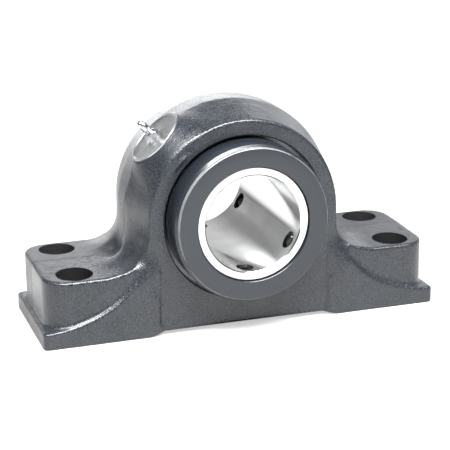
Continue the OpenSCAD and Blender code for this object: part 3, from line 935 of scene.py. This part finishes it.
def fittingPiece(look):
    plate, stem, length, core = labelLook["plate"], look["stem"], look["stemLength"], look["core"]
    head, neck, mouth, channel = look["head"], look["neck"], look["mouth"], look["channel"]
    pointIn, pointUp = look["stemPoint"]
    tip, hexTop = plate + look["height"], plate + look["hexHeight"]
    ballTop = tip - look["ballDepth"]
    springEnd = ballTop - look["springRoom"]
    corners = [(mouth, -length, 0), (stem - pointIn, -length, 0), (stem, -length + pointUp, 0),
               (stem, plate - 0.1, 0), (core, plate - 0.1, 0), (core, hexTop + 0.5, 0.5),
               (neck, hexTop + look["neckFrom"], 0.8), (neck, hexTop + look["neckTo"], 0.8),
               (head, hexTop + look["headFrom"], 0.5), (head, tip - look["headTo"], 0.7),
               (head - look["headCone"], tip - 1.2, 0.6), (mouth + 1, tip, 0.3), (mouth, tip - 0.6, 0.1),
               (channel, ballTop + 0.6, 0), (channel, springEnd, 0), (mouth, springEnd, 0)]
    piece = turnedPiece("greaseFittingTurned", roundedOutline(corners, 4), look["segments"], plateFrame)
    bm = bmesh.new()
    bm.from_mesh(piece.data)
    addStack(bm, hexagonLoops(look, plate, hexTop))
    bm.to_mesh(piece.data)
    bm.free()
    smoothShade(piece, look["sharpAngle"])
    setMaterial(piece, finishes["fitting"])
    return piece


label = labelPiece(labelLook)
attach(label, "base")
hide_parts("label_plate")
fitting = fittingPiece(fittingLook)
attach(fitting, "base")
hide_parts("grease_fitting")
print("label plate and grease fitting made")


# floor, light and camera, in metres

studioLook = {
    "floorSize": 14.0, "floorColour": 0.45, "speck": (3.0, 2.0, 0.5), "speckShare": 0.01,
    "cameraGlow": 0.55, "farGlow": 0.60, "farRise": (0.5, 2.5), "glowCentre": (0, 0.25, 0),
    "rearGlow": 0.3, "rearEdge": (-0.02, 0.14), "glowFade": (0.62, 1.1),
    "airFront": 0.10, "airRear": 0.28, "airRearRight": 0.30, "airTop": 0.12,
    "rearTurn": (-0.1, 0.5), "rightTurn": (-0.25, 0.15), "topTurn": (0.30, 0.60),
    "white": (1, 1, 1, 1), "aim": (0, 0, 0.09),
}
# azimuth 0 stands in front and 90 at +X, lean turns a card about its own middle
panelLooks = {
    "frontPanel": {"azimuth": -25, "elevation": 30, "distance": 1.7, "width": 1.2, "height": 0.5,
                   "radiance": 0.8, "lean": 0},
    "overhead": {"azimuth": -6, "elevation": 64, "distance": 1.5, "width": 1.5, "height": 0.76,
                 "radiance": 25.0, "lean": 0},
    "rearCard": {"azimuth": 167.5, "elevation": 28.9, "distance": 0.527, "width": 0.36, "height": 0.085,
                 "radiance": 2.8, "lean": 18},
    "rearHorizon": {"azimuth": 180, "elevation": 4.0, "distance": 1.6, "width": 0.95, "height": 0.40,
                    "radiance": 2.4, "lean": 0},
    "rearRightPanel": {"azimuth": 141, "elevation": 17, "distance": 1.6, "width": 0.50, "height": 1.1,
                       "radiance": 0.6, "lean": 0},
}


def floorMaterial(look):
    # lifted to white for the camera, with a faint glow behind the object for polished metal to mirror
    g = Graph(bpy.data.materials.new("paleFloor"))
    at = g.place()
    tone = look["floorColour"] + (g.noise(at, *look["speck"]) - 0.5) * look["speckShare"]
    colour = g.node("ShaderNodeCombineColor", {}, {"Red": tone, "Green": tone, "Blue": tone})
    plain = g.node("ShaderNodeBsdfDiffuse", {}, {"Color": colour}, "BSDF")
    away = g.node("ShaderNodeVectorMath", {"operation": "DISTANCE"}, {0: at, 1: look["glowCentre"]}, "Value")
    seen, glossy, through = (g.node("ShaderNodeLightPath", {}, {}, f"Is {ray} Ray")
                             for ray in ("Camera", "Glossy", "Transmission"))
    direct = seen * (look["cameraGlow"] + away.rises(*look["farRise"]) * look["farGlow"])
    behind = g.axes(at)[1].rises(*look["rearEdge"]) * look["rearGlow"]
    mirrored = (glossy + through).clamped() * behind * (1.0 - away.rises(*look["glowFade"]))
    sockets = {"Color": look["white"], "Strength": direct + mirrored}
    glow = g.node("ShaderNodeEmission", {}, sockets, "Emission")
    return g.end(g.node("ShaderNodeAddShader", {}, {0: plain, 1: glow}, "Shader"))


def studioAir(look):
    # brighter to the rear and the right, and white to the camera
    g = Graph(bpy.data.worlds.new("studioAir"), "ShaderNodeOutputWorld")
    x, y, z = g.axes(g.node("ShaderNodeTexCoord", {}, {}, "Generated"))
    rear = look["airRear"] - look["airFront"] + x.rises(*look["rightTurn"]) * look["airRearRight"]
    level = look["airFront"] + y.rises(*look["rearTurn"]) * rear
    level = level + z.rises(*look["topTurn"]) * (look["airTop"] - level)
    seen = g.node("ShaderNodeLightPath", {}, {}, "Is Camera Ray")
    sockets = {"Color": look["white"], "Strength": level + seen * (1.0 - level)}
    return g.end(g.node("ShaderNodeBackground", {}, sockets, "Background"))


def stageSet(look):
    mesh = bpy.data.meshes.new("studioFloor")
    half = look["floorSize"] / 2
    corners = [(-half, -half, 0), (half, -half, 0), (half, half, 0), (-half, half, 0)]
    mesh.from_pydata(corners, [], [(0, 1, 2, 3)])
    floor = linkObject("studioFloor", mesh)
    setMaterial(floor, floorMaterial(look))
    scene.world = studioAir(look)


def towardsPlace(azimuth, elevation):
    a, e = math.radians(azimuth), math.radians(elevation)
    return Vector((math.sin(a) * math.cos(e), -math.cos(a) * math.cos(e), math.sin(e)))


def addPanel(name, azimuth, elevation, distance, width, height, radiance, lean):
    lamp = bpy.data.lights.new(name, "AREA")
    lamp.shape = "RECTANGLE"
    lamp.size = width
    lamp.size_y = height
    lamp.energy = radiance * math.pi * width * height
    panel = linkObject(name, lamp)
    towards = towardsPlace(azimuth, elevation)
    panel.location = Vector(studioLook["aim"]) + towards * distance
    panel.rotation_mode = "QUATERNION"
    panel.rotation_quaternion = towards.to_track_quat("Z", "Y") @ Quaternion((0, 0, 1), math.radians(lean))
    panel.visible_camera = False


cameraLook = {
    "focalPixels": 1470.62, "imageWidth": 450.0, "sensor": 36.0, "azimuth": -18.462, "elevation": 17.039,
    "roll": -0.5305, "distance": 1.35301, "aside": -0.00060, "above": 0.01642, "target": (0, 0, 0.095),
    "nearest": 0.05, "farthest": 50.0,
}


def addCamera(look):
    a, r = math.radians(look["azimuth"]), math.radians(look["roll"])
    back = towardsPlace(look["azimuth"], look["elevation"])
    level = Vector((math.cos(a), math.sin(a), 0))
    lift = back.cross(level)
    right = level * math.cos(r) + lift * math.sin(r)
    up = lift * math.cos(r) - level * math.sin(r)
    lens = bpy.data.cameras.new("photoView")
    lens.sensor_width = look["sensor"]
    lens.lens = look["focalPixels"] / look["imageWidth"] * look["sensor"]
    lens.clip_start = look["nearest"]
    lens.clip_end = look["farthest"]
    camera = linkObject("photoView", lens)
    spot = Vector(look["target"]) + back * look["distance"] - right * look["aside"] - up * look["above"]
    camera.matrix_world = Matrix.Translation(spot) @ Matrix((right, up, back)).transposed().to_4x4()
    scene.camera = camera


stageSet(studioLook)
for name, panelLook in panelLooks.items():
    addPanel(name, **panelLook)
addCamera(cameraLook)
print("studio and camera placed")
